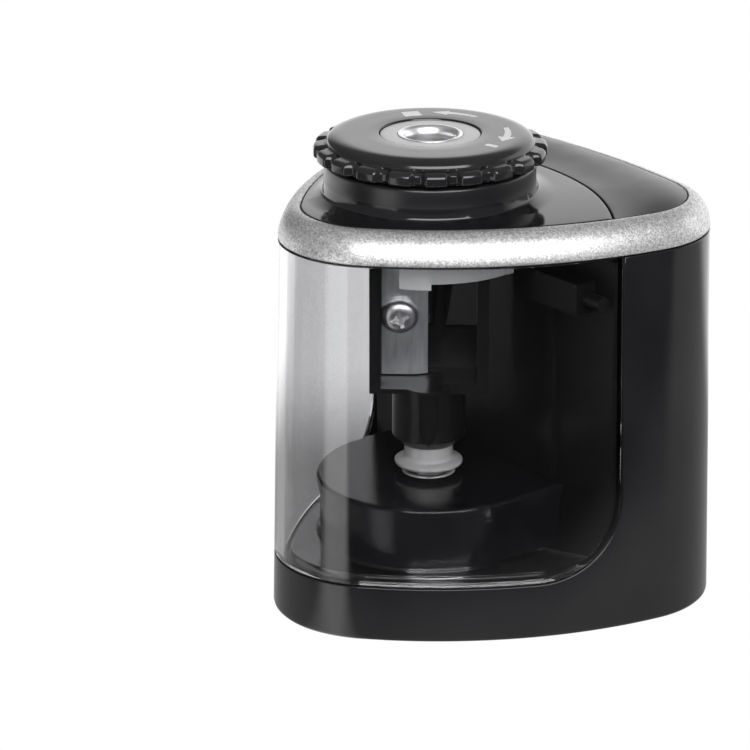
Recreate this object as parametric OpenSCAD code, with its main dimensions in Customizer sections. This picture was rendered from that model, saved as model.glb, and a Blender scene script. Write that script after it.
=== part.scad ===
// Battery pencil sharpener with a twist knob and a clear shavings bin.
// The origin is the middle of the footprint on the surface it stands on: +Z up, +X right, +Y to the back.

/* [Body outline] */
// Radius of the three rounded corners of the plan
corner_r = 16.5; // [14:0.5:18]
// How far the front corner's centre lies in front of the origin
front_y = 18.25; // [16:0.25:20]
// How far the rear corners' centres lie to each side
rear_x = 18.65; // [17:0.05:20]
// How far the rear corners' centres lie behind the origin
rear_y = 16.85; // [15:0.05:18]
// Radius of the two bowed flanks
flank_r = 73.5; // [65:0.5:90]
// Radius of the bowed back
back_r = 142; // [120:1:200]
// How much wider the wall is at its foot than at the trim ring, on each side
draft = 1.25; // [0.5:0.05:1.5]
// Wall thickness of the body shell
shell_t = 2; // [1.6:0.1:2.2]

/* [Heights] */
// Height of the body shell's lower edge above the table
shell_bottom = 0.5; // [0.4:0.1:0.6]
// Top of the base band, under the bin
band_top = 10; // [9.9:0.05:10.1]
// Lower edge of the trim ring
ring_z = 65.7; // [65.5:0.1:66]
// Height of the trim ring's quarter round
ring_h = 5.3; // [5:0.1:5.5]
// Width of the trim ring's quarter round, seen from above
ring_w = 3.7; // [3.5:0.1:4]

/* [Window] */
// Rear edge of the window opening
window_y = 6.75; // [6.5:0.05:7]
// Radius of the opening's lower rear corners
window_corner = 14; // [12:0.5:15]
// Gap round the bin
window_gap = 0.18; // [0.1:0.02:0.25]
// Wall thickness of the bin
bin_t = 1.6; // [1.4:0.1:1.8]
// How far the bin's floor stands inside the chamber floor
bin_floor_t = 1.3; // [1:0.1:1.6]

/* [Deck and collar] */
// Radius of the arc seam between the two decks
seam_r = 52; // [48:1:60]
// Where the arc seam crosses the middle
seam_y = 16.8; // [16:0.1:17.5]
// Radius of the crown of both decks
crown_r = 800; // [600:10:1200]
// Outer radius of the collar under the knob
collar_r = 17.7; // [17.6:0.1:17.8]
// Radius of the collar's bore, in which the knob turns
collar_bore_r = 14.6; // [14.4:0.05:14.7]

/* [Knob] */
// How far the knob's axis lies in front of the origin
axis_y = 7.11; // [7:0.01:7.2]
// Outer radius over the lobes
lobe_r = 19.5; // [19:0.1:20]
// Number of lobes
lobes = 20; // [18:1:24]
// Height of the knob's flat top
knob_top = 81.6; // [81.4:0.1:82]
// Radius of the light disc in the knob
disc_r = 8.4; // [8:0.1:8.6]
// Radius of the pencil throat
throat_r = 4.2; // [4:0.05:4.25]
// Radial clearance of the turning fits
run_gap = 0.06; // [0.04:0.01:0.08]

/* [Cutter] */
// Turn of the cutter at rest, from facing the front
cutter_turn = 50.6; // [0:0.1:90]
// Lower end of the drive tube
tube_z = 27.2; // [27:0.1:27.5]
// Outer radius of the drive tube
tube_r = 6.2; // [6:0.1:6.3]
// Lower face of the carrier's frame
frame_z = 37.4; // [37:0.1:38]
// Lower face of the carrier's flange
flange_z = 69; // [68.8:0.1:69.2]
// Radius of the carrier's flange
flange_r = 11.6; // [11.4:0.1:11.8]
// Overall width of the carrier's frame
frame_w = 20; // [19:0.5:20.5]
// Length of the blade
blade_len = 29; // [28:0.5:29.5]
// Width of the blade
blade_w = 7.6; // [7:0.1:7.8]
// Thickness of the blade
blade_t = 0.6; // [0.5:0.05:0.7]

/* [Gears] */
// Tooth module
gear_m = 0.5; // [0.5:0.05:0.5]
// Teeth of the output gear
out_teeth = 52; // [52:1:52]
// Teeth of the idler's small wheel
idler_small = 12; // [12:1:12]
// Teeth of the idler's large wheel
idler_large = 36; // [36:1:36]
// Teeth of the motor pinion
pinion_teeth = 10; // [10:1:10]
// Outer radius of the gear cover
cover_r = 18.8; // [18.6:0.1:19]
// Top of the gear cover
cover_top = 22; // [21.9:0.1:22.1]

/* [Power] */
// Radius of a battery cell
cell_r = 7.15; // [7:0.05:7.2]
// Length of a battery cell
cell_len = 50; // [49:0.5:50.5]
// How far the cells stand to each side
cell_x = 20.5; // [20:0.1:21]
// How far the cells stand behind the origin
cell_y = 19.3; // [19:0.1:19.6]
// Radius of the motor's round sides
motor_r = 10; // [9.5:0.5:10]

/* [Hidden] */
$fn = 96;

gloss_black = [0.03, 0.03, 0.035];
satin_black = [0.16, 0.16, 0.17];
silver = [0.78, 0.78, 0.8];
light_grey = [0.8, 0.8, 0.8];
smoke = [0.35, 0.35, 0.37, 0.45];
steel = [0.72, 0.73, 0.75];
white_nylon = [0.92, 0.92, 0.9];

big = 200;                       // larger than the whole object
eps = 0.01;

// ---- Plan outline: three corner arcs joined by two flank arcs and a back arc, all tangent ----
front_c = [0, -front_y];
rear_c = [rear_x, rear_y];
half_side = norm(rear_c - front_c) / 2;
side_dir = (rear_c - front_c) / (2 * half_side);
side_depth = sqrt(pow(flank_r - corner_r, 2) - pow(half_side, 2));
flank_c = (front_c + rear_c) / 2 + side_depth * [-side_dir.y, side_dir.x];
back_c = [0, rear_y - sqrt(pow(back_r - corner_r, 2) - pow(rear_x, 2))];
function heading(from, to) = atan2(to.y - from.y, to.x - from.x);
flank_a0 = heading(flank_c, front_c);
flank_a1 = heading(flank_c, rear_c);
back_a0 = heading(back_c, rear_c);

// The right half of the outline as arcs of [centre, radius, first angle, last angle], from front to back
HALF_ARCS = [
    [front_c, corner_r, -90, flank_a0],
    [flank_c, flank_r, flank_a0, flank_a1],
    [rear_c, corner_r, flank_a1, back_a0],
    [back_c, back_r, back_a0, 90]];
arc_step = 3;                    // degrees between the points of an outline polygon
function arc_points(arc, grow) =
    let (steps = ceil((arc[3] - arc[2]) / arc_step), turn = (arc[3] - arc[2]) / steps)
    [for (i = [0 : steps - 1]) arc[0] + (arc[1] + grow) * [cos(arc[2] + i * turn), sin(arc[2] + i * turn)]];
function outline(grow) =
    let (half = [for (arc = HALF_ARCS) each arc_points(arc, grow)])
    concat(half, [[0, back_c.y + back_r + grow]],
        [for (i = [len(half) - 1 : -1 : 1]) [-half[i].x, half[i].y]]);

// How far the drafted wall stands outside the plan outline at height z
function wall_off(z) = draft * (1 - z / ring_z);

// A flat plate of the outline's shape, grown by an amount
module plate(grow, z0, z1) {
    translate([0, 0, z0]) linear_extrude(z1 - z0) polygon(outline(grow));
}

// A profile of [distance outside the outline, height], counter-clockwise, swept round the whole outline
module swept(profile) {
    loops = [for (p = profile) [for (q = outline(p[0])) [q.x, q.y, p[1]]]];
    n = len(loops[0]);
    m = len(profile);
    polyhedron([for (l = loops) each l], [for (j = [0 : m - 1]) for (i = [0 : n - 1])
        let (a = j * n, b = ((j + 1) % m) * n, k = (i + 1) % n)
        each [[a + i, b + i, b + k], [a + i, b + k, a + k]]]);
}

// The window opening, seen from the side and cut right through, shrunk by a gap
module window_region(gap) {
    edge = window_y - gap;
    r = window_corner - gap;
    floor_z = band_top + gap;
    rotate([90, 0, 90]) linear_extrude(big, center = true) union() {
        translate([-big, floor_z + r]) square([big + edge, big]);
        translate([-big, floor_z]) square([big + edge - r, r + eps]);
        translate([edge - r, floor_z + r]) circle(r, $fn = 120);
    }
}

module ring(r_out, r_in, z0, z1) {
    translate([0, 0, z0]) difference() {
        cylinder(h = z1 - z0, r = r_out);
        translate([0, 0, -1]) cylinder(h = z1 - z0 + 2, r = r_in);
    }
}

module on_axis() {
    translate([0, -axis_y, 0]) children();
}

module box(x0, x1, y0, y1, z0, z1) {
    translate([x0, y0, z0]) cube([x1 - x0, y1 - y0, z1 - z0]);
}

// A round rod between two heights
module rod(r, z0, z1) {
    translate([0, 0, z0]) cylinder(h = z1 - z0, r = r);
}

// ---- A round wire swept along a list of points ----
function unit(v) = v / norm(v);
function tangent(pts, i) = unit(pts[min(i + 1, len(pts) - 1)] - pts[max(i - 1, 0)]);
function side_of(t) = unit(cross(t, abs(t.z) > 0.9 ? [1, 0, 0] : [0, 0, 1]));
module wire(pts, r, sides = 8) {
    rings = [for (i = [0 : len(pts) - 1])
        let (t = tangent(pts, i), u = side_of(t), v = cross(t, u))
        for (k = [0 : sides - 1]) pts[i] + r * (u * cos(360 * k / sides) + v * sin(360 * k / sides))];
    last = (len(pts) - 1) * sides;
    walls = [for (i = [0 : len(pts) - 2]) for (k = [0 : sides - 1])
        let (a = i * sides + k, b = i * sides + (k + 1) % sides)
        each [[a, a + sides, b], [b, a + sides, b + sides]]];
    ends = [[for (k = [0 : sides - 1]) k], [for (k = [sides - 1 : -1 : 0]) last + k]];
    polyhedron(rings, concat(walls, ends));
}

// Points of a coil that may taper from one radius to another
function coil(r0, r1, z0, z1, turns, per_turn = 14) =
    [for (i = [0 : turns * per_turn])
        let (f = i / (turns * per_turn), a = 360 * i / per_turn, r = r0 + (r1 - r0) * f)
        [r * cos(a), r * sin(a), z0 + (z1 - z0) * f]];

// A quarter turn of a round path: corner, entry direction and exit direction are unit axes
function bend(corner, from_dir, to_dir, r) =
    [for (i = [0 : 6]) corner + r * (-from_dir * (1 - sin(15 * i)) + to_dir * (1 - cos(15 * i)))];

// ---- Casing ----
module body_shell() {
    round = 0.9;
    top = ring_z - 0.2;
    foot = [for (a = [0 : 22.5 : 90])
        [wall_off(0) - round + round * sin(a), shell_bottom + round - round * cos(a)]];
    color(gloss_black) difference() {
        swept(concat(foot, [[wall_off(top), top], [wall_off(top) - shell_t, top],
            [wall_off(0) - shell_t, shell_bottom]]));
        window_region(0);
    }
}

module shavings_bin() {
    top = ring_z - 0.25;
    low = band_top - 1;
    slot = cover_r + 0.6;
    tray_x = 28;                 // the tray passes between the shell's walls as the bin slides out
    color(smoke) union() {
        intersection() {
            swept([[wall_off(low), low], [wall_off(top), top], [wall_off(top) - bin_t, top],
                [wall_off(low) - bin_t, low]]);
            window_region(window_gap);
        }
        difference() {
            union() {
                intersection() {
                    plate(-1.1, band_top + window_gap, band_top + window_gap + bin_floor_t);
                    box(-tray_x, tray_x, -big, frame_front - 0.8, 0, big);
                }
                intersection() {
                    plate(-0.2, band_top + window_gap, band_top + window_gap + bin_floor_t);
                    box(-big, big, -big, window_y - window_corner - 1, 0, big);
                }
            }
            on_axis() rod(slot, 0, band_top + 5);
            box(-slot, slot, -axis_y, big, 0, band_top + 5);
        }
    }
}

module trim_ring() {
    outer = [for (a = [0 : 15 : 90]) [-ring_w * (1 - cos(a)), ring_z + ring_h * sin(a)]];
    ledge_z = ring_z + ring_h - 1.45;
    color(silver) swept(concat(outer, [[-ring_w, ledge_z], [-ring_w - 1.6, ledge_z],
        [-ring_w - 1.6, ledge_z - 1.2], [-1.9, ledge_z - 1.2], [-1.9, ring_z]]));
}

deck_z = ring_z + ring_h;        // height of both decks at the trim ring
deck_t = 1.4;
crown_top = deck_z + 0.6;
module deck_blank(grow) {
    intersection() {
        plate(grow, deck_z - deck_t, deck_z + 3);
        rotate_extrude($fn = 360) polygon(concat([[0, 0], [52, 0]],
            [for (r = [52 : -4 : 0]) [r, crown_top - r * r / (2 * crown_r)]]));
    }
}
module seam_disc(grow) {
    translate([0, seam_y - seam_r, 0]) cylinder(h = big, r = seam_r + grow, $fn = 200);
}

collar_top = 76.9;
fillet_r = 2.4;
module front_deck() {
    hill = [for (a = [0 : 15 : 90])
        [collar_r + fillet_r - fillet_r * cos(a), 75.1 - fillet_r * sin(a)]];
    color(gloss_black) difference() {
        union() {
            intersection() {
                deck_blank(-ring_w - 0.12);
                seam_disc(-0.1);
            }
            intersection() {
                on_axis() rotate_extrude() polygon(concat([[collar_bore_r - 1, deck_z - deck_t],
                    [collar_bore_r - 1, collar_top], [collar_r - 0.5, collar_top],
                    [collar_r, collar_top - 0.5]], hill,
                    [[22.4, deck_z + 0.7], [24.2, deck_z - 0.1], [24.8, deck_z - deck_t]]));
                plate(-ring_w - 0.12, 0, big);
                seam_disc(-0.1);
            }
        }
        on_axis() rod(collar_bore_r, 0, big);
    }
}

module rear_deck() {
    color(satin_black) difference() {
        deck_blank(-ring_w - 0.12);
        seam_disc(0.1);
    }
}

lock_top = deck_z - deck_t - 0.1;
module lock_ring() {
    color(light_grey) on_axis() difference() {
        union() {
            ring(17.3, 15.4, 60.4, lock_top);
            for (turn = [-46, 74, 194]) rotate([0, 0, turn]) box(16, 18.9, -2.6, 2.6, 60.1, 64);
            rotate([0, 0, 10]) translate([17.4, 0, 0]) rod(0.6, 60.8, 64);
        }
        rod(15.4, 0, big);
    }
}

// ---- Knob and pencil guide ----
guide_stem_r = 7.4;
module twist_knob() {
    shelf_z = 80;
    low = 77.7;
    color(gloss_black) on_axis() difference() {
        union() {
            rotate_extrude() polygon([[0, low - 0.5], [17.2, low - 0.5], [18, low], [lobe_r - 0.4, low],
                [lobe_r, low + 0.4], [lobe_r, shelf_z - 0.7], [lobe_r - 0.2, shelf_z - 0.3],
                [lobe_r - 0.7, shelf_z - 0.05], [17.3, shelf_z + 0.05], [17.3, knob_top - 1],
                [17, knob_top - 0.5], [16.3, knob_top - 0.15], [15.2, knob_top], [0, knob_top]]);
            rod(collar_bore_r - run_gap, 66, low);
            for (turn = [0, 180]) rotate([0, 0, turn]) box(12, 15.2, -2, 2, 66, 67.5);
        }
        for (i = [0 : lobes - 1]) rotate([0, 0, 360 * (i + 0.5) / lobes]) translate([lobe_r + 0.55, 0, 0])
            rod(1.35, low - 1, shelf_z);
        rod(disc_r + 0.1, knob_top - 2.2, big);
        rod(guide_stem_r + 0.05, 60, big);
        rod(collar_bore_r - 2, 60, low - 1);
    }
}

module guide_disc() {
    top = knob_top - 0.55;
    color(light_grey) on_axis() difference() {
        union() {
            rod(disc_r, top - 1.6, top);
            rod(guide_stem_r, 76.6, top);
            rod(6.4, 74.6, 77);
        }
        rod(5.5, 0, big);
    }
}

module entry_funnel() {
    top = knob_top - 0.45;
    mouth = 5.3;
    color(steel) on_axis() rotate_extrude() polygon(concat(
        [[5.45, 74.8], [5.45, top - 0.3], [mouth, top]],
        [for (a = [0 : 15 : 90]) [throat_r + 1 - sin(a), top - 2 + 2 * cos(a)]],
        [[throat_r, 74.8]]));
}

// ---- Cutter ----
prong_top = 74.2;
module cutter_frame() {
    w = frame_w / 2;
    difference() {
        union() {
            rod(tube_r, tube_z + 1.6, frame_z + 1);
            translate([0, 0, tube_z]) cylinder(h = 1.6, r1 = tube_r - 1.6, r2 = tube_r);
            box(-w, w, -5, 5, frame_z, frame_z + 1.8);
            for (s = [-1, 1]) box(s > 0 ? w - 2 : -w, s > 0 ? w : 2 - w, -5, 5, frame_z, flange_z);
            box(-w, w, 3.4, 5, frame_z, frame_z + 9);
            translate([0, 0, 46]) cylinder(h = flange_z - 46, r1 = 2.4, r2 = 6.3);
            at_blade() box(-w + 0.2, -1.4, 0.02, 1.7, blade_low - 0.5, 20.5);
            rod(flange_r, flange_z, flange_z + 1.8);
            translate([0, 0, flange_z - 2]) cylinder(h = 2, r1 = frame_w / 2, r2 = flange_r);
            rod(6.7, flange_z + 1.8, prong_top);
        }
        rod(hub_neck_r + 0.05, 0, 33.5);
        // the tapered pencil bore, and the bore of the prong ring
        translate([0, 0, cone_z]) cylinder(h = flange_z - cone_z, r1 = cone_r0, r2 = cone_r1);
        rod(cone_r1, flange_z - eps, big);
        rod(5.4, flange_z + 1.8, big);
        for (turn = [0 : 60 : 120]) rotate([0, 0, turn]) box(-10, 10, -1.1, 1.1, flange_z + 2.4, big);
        // in front of the blade the guide is cut away, and beside its edge the bore is open
        at_blade() {
            box(-7.95, 2.4, -10, 0.02, blade_low - 0.2, 20.4);
            box(-1.4, 2.4, -10, 0.5, blade_low - 0.2, 20);
            translate([screw_x, 0, screw_at]) rotate([90, 0, 0]) translate([0, 0, -9])
                cylinder(h = 20, r = 1.5, $fn = 48);
        }
        // pointed pocket in the front of the drive tube
        rotate([90, 0, 0]) translate([0, 0, tube_r - 0.9]) linear_extrude(5)
            polygon([[-1.55, frame_z - 0.4], [-1.55, 31], [0, 27.9], [1.55, 31], [1.55, frame_z - 0.4]]);
    }
}

// The pencil's cone: its point and its slant. The blade's back lies along it.
cone_z = 48;
cone_r0 = 1;
cone_r1 = throat_r + 0.2;
cone_slant = atan((cone_r1 - cone_r0) / (flange_z - cone_z));
blade_low = -8.8;                // lower end of the blade, along the slant from the cone's point
blade_x = -7.8;
screw_x = -4.9;
screw_at = 2.6;                  // the screw, along the slant from the cone's point
module at_cutter() {
    on_axis() rotate([0, 0, cutter_turn]) children();
}
module at_blade() {
    translate([0, -cone_r0, cone_z]) rotate([cone_slant, 0, 0]) children();
}
module cutter_carrier() {
    color(gloss_black) at_cutter() cutter_frame();
}

module cutter_blade() {
    bevel = 1.9;
    color(steel) at_cutter() at_blade() difference() {
        translate([blade_x, 0, blade_low]) linear_extrude(blade_len)
            polygon([[0, 0], [blade_w, 0], [blade_w, -0.08], [blade_w - bevel, -blade_t], [0, -blade_t]]);
        translate([screw_x, 5, screw_at]) rotate([90, 0, 0]) cylinder(h = 10, r = 1.6, $fn = 48);
    }
}

module blade_screw() {
    face = blade_t + 0.02;
    head = 1.9;
    color(steel) at_cutter() at_blade() translate([screw_x, 0, screw_at]) rotate([90, 0, 0]) difference() {
        union() {
            translate([0, 0, -4.5]) cylinder(h = 5.3, r = 1.42, $fn = 48);
            rotate_extrude($fn = 72) polygon(concat([[0, face], [3.1, face], [3.1, face + 0.6]],
                [for (a = [15 : 15 : 90]) [1.3 + 1.8 * cos(a), face + 0.6 + (head - 0.6) * sin(a)]],
                [[0, face + head]]));
        }
        translate([0, 0, face + head]) {
            for (turn = [20, 110]) rotate([0, 0, turn]) cube([3.2, 0.7, 2.2], center = true);
            sphere(r = 0.9, $fn = 32);
        }
    }
}

// ---- Drive ----
hub_neck_r = 4.15;
hub_flange_z = 23.4;
hex_r = 3.2;
module drive_hub() {
    color(white_nylon) at_cutter() union() {
        translate([0, 0, hub_flange_z]) rotate_extrude()
            polygon([[0, 0], [5.6, 0], [5.75, 0.2], [5.75, 0.6], [5.5, 0.8],
                [hub_neck_r + 0.4, 1.1], [hub_neck_r, 1.6], [hub_neck_r, 9], [0, 9]]);
        translate([0, 0, 13.4]) cylinder(h = 10.2, r = hex_r, $fn = 6);
        rod(1.1, 7.3, 13.6);
    }
}

module return_spring() {
    color(steel) on_axis() wire(coil(2.1, 2.1, 9.55, 13.05, 4), 0.22);
}

// A gear blank's outline with straight-sided teeth, one tooth centred on +X
module toothed(teeth, bore_r, z0, z1) {
    pitch_r = gear_m * teeth / 2;
    tip = pitch_r + 0.42;
    root = pitch_r - 0.62;
    step = 360 / teeth;
    translate([0, 0, z0]) linear_extrude(z1 - z0) difference() {
        polygon([for (i = [0 : teeth - 1]) each
            [for (p = [[-0.30, root], [-0.11, tip], [0.11, tip], [0.30, root]])
                p[1] * [cos((i + p[0]) * step), sin((i + p[0]) * step)]]]);
        if (bore_r > 0) circle(bore_r, $fn = 48);
    }
}
idler_y = -axis_y + gear_m * (out_teeth + idler_small) / 2;
motor_y = idler_y + gear_m * (idler_large + pinion_teeth) / 2;

module output_gear() {
    color(white_nylon) on_axis() difference() {
        union() {
            // a gap faces the idler
            rotate([0, 0, 90 + 180 / out_teeth]) toothed(out_teeth, 0, 11, 14);
            rod(4.9, 9.7, cover_top - 1.8);
            rod(4.5, 14, cover_top + 0.05);
            rod(4.0, 7.7, 10);
        }
        rotate([0, 0, cutter_turn]) translate([0, 0, 9.3]) cylinder(h = 20, r = hex_r + 0.12, $fn = 6);
        rod(1.6, 0, big);
    }
}

module idler_gear() {
    color(white_nylon) translate([0, idler_y, 0]) union() {
        rotate([0, 0, -90]) toothed(idler_small, 1 + run_gap, 10.4, 14.7);
        rotate([0, 0, 90]) toothed(idler_large, 1 + run_gap, 14.6, 16.6);
    }
}

module idler_pin() {
    color(steel) translate([0, idler_y, 0]) rod(1, 8, 18.4);
}

module motor_pinion() {
    color([0.8, 0.65, 0.3]) translate([0, motor_y, 0])
        rotate([0, 0, -90 + 180 / pinion_teeth]) toothed(pinion_teeth, 1.02, 14.2, 17);
}

motor_z = 18.7;
motor_body_h = 20;
module motor_shaft() {
    color(steel) translate([0, motor_y, 0]) rod(1, 13.8, 24);
}

module motor_section(grow, z0, z1) {
    flat = 7.6 + grow;
    translate([0, motor_y, 0]) intersection() {
        rod(motor_r + grow, z0, z1);
        box(-20, 20, -flat, flat, z0, z1);
    }
}

module motor_can() {
    color(steel) difference() {
        union() {
            motor_section(0, motor_z, motor_z + motor_body_h);
            translate([0, motor_y, 0]) rod(3, motor_z - 0.9, motor_z + 1);
        }
        translate([0, motor_y, 0]) rod(1 + run_gap, 0, motor_z + 8);
    }
}

module motor_end_cap() {
    color(light_grey) union() {
        motor_section(-0.3, motor_z + motor_body_h + 0.02, motor_z + motor_body_h + 3.4);
        translate([0, motor_y, 0]) rod(3.2, motor_z + motor_body_h + 3, motor_z + motor_body_h + 5);
    }
}

terminal_z = motor_z + motor_body_h + 3.45;
module motor_terminals() {
    color([0.85, 0.7, 0.35]) for (s = [-1, 1]) translate([s * 6.5, motor_y, 0])
        box(-0.2, 0.2, -1.2, 1.2, terminal_z, terminal_z + 3.4);
}

mount_z = 17.5;                  // lower face of the plate that carries the motor
mount_t = 1.1;
post_x = 11.5;                   // posts and screws that hold the plate
post_y = 10.4;
module motor_mount() {
    color(satin_black) difference() {
        union() {
            box(-11.4, 11.4, frame_back + 0.1, motor_y + 9.6, mount_z, mount_z + mount_t);
            box(-13.4, 13.4, frame_back + 0.1, post_y + 2, mount_z, mount_z + mount_t);
            box(-4, 4, idler_y - 2.6, frame_back + 0.5, mount_z, mount_z + mount_t);
        }
        translate([0, motor_y, 0]) rod(3.1, 0, big);
        translate([0, idler_y, 0]) rod(1.03, 0, big);
        for (s = [-1, 1]) translate([s * post_x, post_y, 0]) rod(1.1, 0, big);
    }
}

module motor_screws() {
    color(steel) for (s = [-1, 1]) translate([s * post_x, post_y, 0]) difference() {
        union() {
            rod(1, 12.5, mount_z + mount_t + 0.5);
            rod(1.7, mount_z + mount_t, mount_z + mount_t + 1.2);
        }
        translate([0, 0, mount_z + mount_t + 1.2]) cube([2.4, 0.5, 0.9], center = true);
    }
}

// ---- Chamber floor and wall, gear cover ----
frame_front = 6.3;               // chamber side of the back wall
frame_back = 8.3;
floor_z = 9.6;
floor_t = 2;
module chamber_floor() {
    color(gloss_black) difference() {
        union() {
            plate(-1.02, floor_z - floor_t, floor_z);
            for (s = [-1, 1]) translate([s * post_x, post_y, 0]) rod(1.8, floor_z - 0.5, mount_z);
            translate([0, idler_y, 0]) rod(2.2, floor_z - 0.5, floor_z + 0.6);
            for (p = SCREW_POINTS) translate(p) rod(2.8, plate_z + plate_t, floor_z - floor_t + 0.5);
        }
        on_axis() rod(4 + run_gap, 0, floor_z + 1);
        translate([0, idler_y, 0]) rod(1.03, 8, floor_z + 1);
        for (s = [-1, 1]) translate([s * post_x, post_y, 0]) rod(1.03, 12, big);
        for (s = [-1, 1]) translate([s * cell_x, cell_y, 0]) rod(cell_r + 0.35, 0, floor_z + 1);
        for (p = SCREW_POINTS) translate(p) rod(1.13, 0, floor_z - 0.8);
    }
}

module chamber_wall() {
    wall_top = deck_z - deck_t - 5.4;
    color(gloss_black) difference() {
        union() {
            intersection() {
                plate(-2.1, floor_z, wall_top);
                box(-big, big, frame_front, frame_back, 0, big);
            }
            // rib on the chamber side
            box(15.8, 17.6, frame_front - 1.2, frame_front + eps, cover_top + 0.1, 56);
        }
        on_axis() rod(19.3, 59.8, big);
        // the way through for the idler and the motor plate's tongue
        box(-10.4, 10.4, frame_front - 1, frame_back + 0.6, 0, mount_z + mount_t + 0.3);
        for (s = [-1, 1]) translate([s * post_x, post_y, 0]) rod(1.9, 0, mount_z);
    }
}

module gear_cover() {
    t = 1.6;
    round = 0.7;
    color(gloss_black) difference() {
        union() {
            on_axis() rotate_extrude() polygon(concat([[0, floor_z], [cover_r, floor_z]],
                [for (a = [0 : 22.5 : 90])
                    [cover_r - round + round * cos(a), cover_top - round + round * sin(a)]],
                [[0, cover_top]]));
            box(-cover_r + 0.03, cover_r - 0.03, -axis_y, frame_front - 0.05, floor_z, cover_top);
        }
        on_axis() rod(cover_r - t, 0, cover_top - t);
        box(-cover_r + t, cover_r - t, -axis_y, big, 0, cover_top - t);
        on_axis() rod(4.5 + run_gap, 0, big);
        box(-big, big, frame_front - 0.05, big, 0, big);
    }
}

// ---- Battery bay ----
cell_z = 5.8;
cell_top = cell_z + cell_len;
module battery_holder() {
    top = cell_top + 3;
    color(satin_black) difference() {
        union() {
            for (s = [-1, 1]) translate([s * cell_x, cell_y, 0]) rod(cell_r + 1, floor_z + 0.05, top);
            box(-cell_x, cell_x, cell_y + 4.4, cell_y + 6, 46, 58);
        }
        for (s = [-1, 1]) translate([s * cell_x, cell_y, 0]) rod(cell_r + 0.2, 0, top - 1.2);
        for (s = [-1, 1]) translate([s * cell_x, cell_y, 0]) rod(1.4, 0, big);
    }
}

module cell(sign) {
    translate([sign * cell_x, cell_y, 0]) union() {
        rod(cell_r, cell_z, cell_top - 1);
        rod(2.7, cell_top - 1.5, cell_top);
    }
}
module battery_left() {
    color([0.75, 0.55, 0.2]) cell(-1);
}
module battery_right() {
    color([0.75, 0.55, 0.2]) cell(1);
}

module battery_top_contacts() {
    color(steel) for (s = [-1, 1]) translate([s * cell_x, cell_y, 0]) union() {
        rod(5, cell_top + 1.3, cell_top + 1.75);
        rod(2, cell_top + 0.05, cell_top + 1.4);
        rod(0.8, cell_top + 1.6, cell_top + 4.6);
    }
}

// ---- Base ----
plate_z = 0.8;
plate_t = 2.2;
door_x = 28;
door_y0 = 10.6;
door_y1 = 27.5;
door_axis_z = 1.6;
SCREW_POINTS = [[0, -28.6, 0], [-28.4, 2.5, 0], [28.4, 2.5, 0], [0, 30.6, 0]];
FOOT_POINTS = [[-10, -22, 0], [10, -22, 0], [-17, 30, 0], [17, 30, 0]];

module base_plate() {
    gap = 0.2;
    color(gloss_black) difference() {
        plate(-1, plate_z, plate_z + plate_t);
        box(-door_x - gap, door_x + gap, door_y0 - gap, door_y1 + gap, 0, 5);
        for (p = SCREW_POINTS) translate(p) {
            rod(2.5, 0, plate_z + 1.2);
            rod(1.2, 0, big);
        }
        for (p = FOOT_POINTS) translate(p) rod(2.25, 0, plate_z + 0.5);
        translate([0, door_y0 + 0.8, door_axis_z]) rotate([0, 90, 0])
            cylinder(h = 2 * door_x + 3.4, r = 0.56, center = true, $fn = 48);
    }
}

module base_screws() {
    color(steel) for (p = SCREW_POINTS) translate(p) difference() {
        union() {
            rod(2.2, plate_z + 0.05, plate_z + 1.15);
            rod(1.1, plate_z + 0.5, plate_z + 7.5);
        }
        for (turn = [0, 90]) rotate([0, 0, turn]) translate([0, 0, plate_z])
            cube([2.6, 0.6, 1.4], center = true);
    }
}

module rubber_feet() {
    color([0.12, 0.12, 0.12]) for (p = FOOT_POINTS) translate(p) rotate_extrude($fn = 48)
        polygon([[0, 0], [1.8, 0], [2.2, 0.4], [2.2, plate_z + 0.5], [0, plate_z + 0.5]]);
}

module battery_door() {
    t = 1.4;
    color(gloss_black) difference() {
        union() {
            box(-door_x, door_x, door_y0 + 0.8, door_y1, door_axis_z - t / 2, door_axis_z + t / 2);
            translate([0, door_y0 + 0.8, door_axis_z]) rotate([0, 90, 0]) {
                cylinder(h = 2 * door_x, r = t / 2, center = true, $fn = 48);
                cylinder(h = 2 * door_x + 3, r = 0.5, center = true, $fn = 48);
            }
            box(-5, 5, door_y1 - 1.6, door_y1, door_axis_z, door_axis_z + 2.2);
        }
        for (i = [-2 : 2]) box(-6, 6, 22 + i * 1.2, 22.5 + i * 1.2, 0, door_axis_z - t / 2 + 0.3);
    }
}

module door_contacts() {
    low = door_axis_z + 0.7;
    color(steel) union() {
        box(-cell_x - 3, cell_x + 3, cell_y - 2.5, cell_y + 2.5, low, low + 0.3);
        for (s = [-1, 1]) translate([s * cell_x, cell_y, 0])
            wire(coil(3.2, 2.2, low + 0.4, cell_z - 0.35, 3), 0.3);
    }
}

// ---- Switches and leads ----
module start_switch_body() {
    color(satin_black) on_axis() difference() {
        box(-4, 4, -3, 3, plate_z + plate_t + 0.05, 6.4);
        rod(1.5 + run_gap, 4.2, big);
    }
}

module start_switch_plunger() {
    color([0.75, 0.2, 0.15]) on_axis() rod(1.5, 5.5, 7.2);
}

plunger_y = 4.3;
plunger_z = 57.4;
module safety_switch_body() {
    color(satin_black) difference() {
        box(10.6, 26.5, frame_front - 4, frame_front - 0.03, 54.6, 60);
        translate([20, plunger_y, plunger_z]) rotate([0, 90, 0])
            cylinder(h = 10, r = 1.2 + run_gap, $fn = 48);
        box(15.6, 17.8, frame_front - 1.25, big, 50, 56.05);
    }
}

module safety_switch_plunger() {
    color([0.7, 0.7, 0.7]) translate([22, plunger_y, plunger_z]) rotate([0, 90, 0])
        cylinder(h = 8.9, r = 1.2, $fn = 48);
}

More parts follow.
